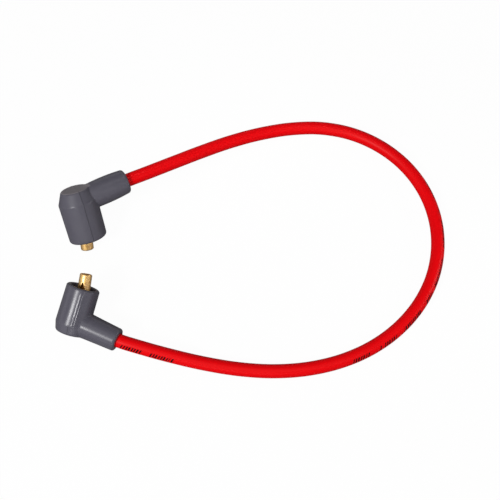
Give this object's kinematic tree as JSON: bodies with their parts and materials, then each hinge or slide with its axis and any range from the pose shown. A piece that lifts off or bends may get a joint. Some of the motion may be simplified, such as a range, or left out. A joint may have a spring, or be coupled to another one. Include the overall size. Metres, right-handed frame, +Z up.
{
  "type": "ignition coil wire",
  "caption": "High-tension ignition lead: a red silicone cable with a grey elbow boot and a brass terminal at each end.",
  "frame": {"origin": "on the surface that the wire lies on, under the middle of the two boots with their terminals", "axes": "+Z up from the surface, +X from the boots towards the cable's loop, +Y from the cap boot towards the coil boot"},
  "size_m": [0.2423, 0.1768, 0.0375],
  "materials": {
    "boot_rubber": "moulded silicone rubber, semi-matte",
    "terminal_brass": "rolled and crimped sheet brass, bright",
    "jacket_silicone": "extruded silicone rubber, smooth",
    "core_composite": "carbon-loaded suppression core, matt"
  },
  "bodies": {
    "root": {"coil_boot": "boot_rubber", "coil_terminal": "terminal_brass", "cap_boot": "boot_rubber", "cap_terminal": "terminal_brass", "cable_jacket": "jacket_silicone", "conductor_core": "core_composite"}
  },
  "joints": []
}
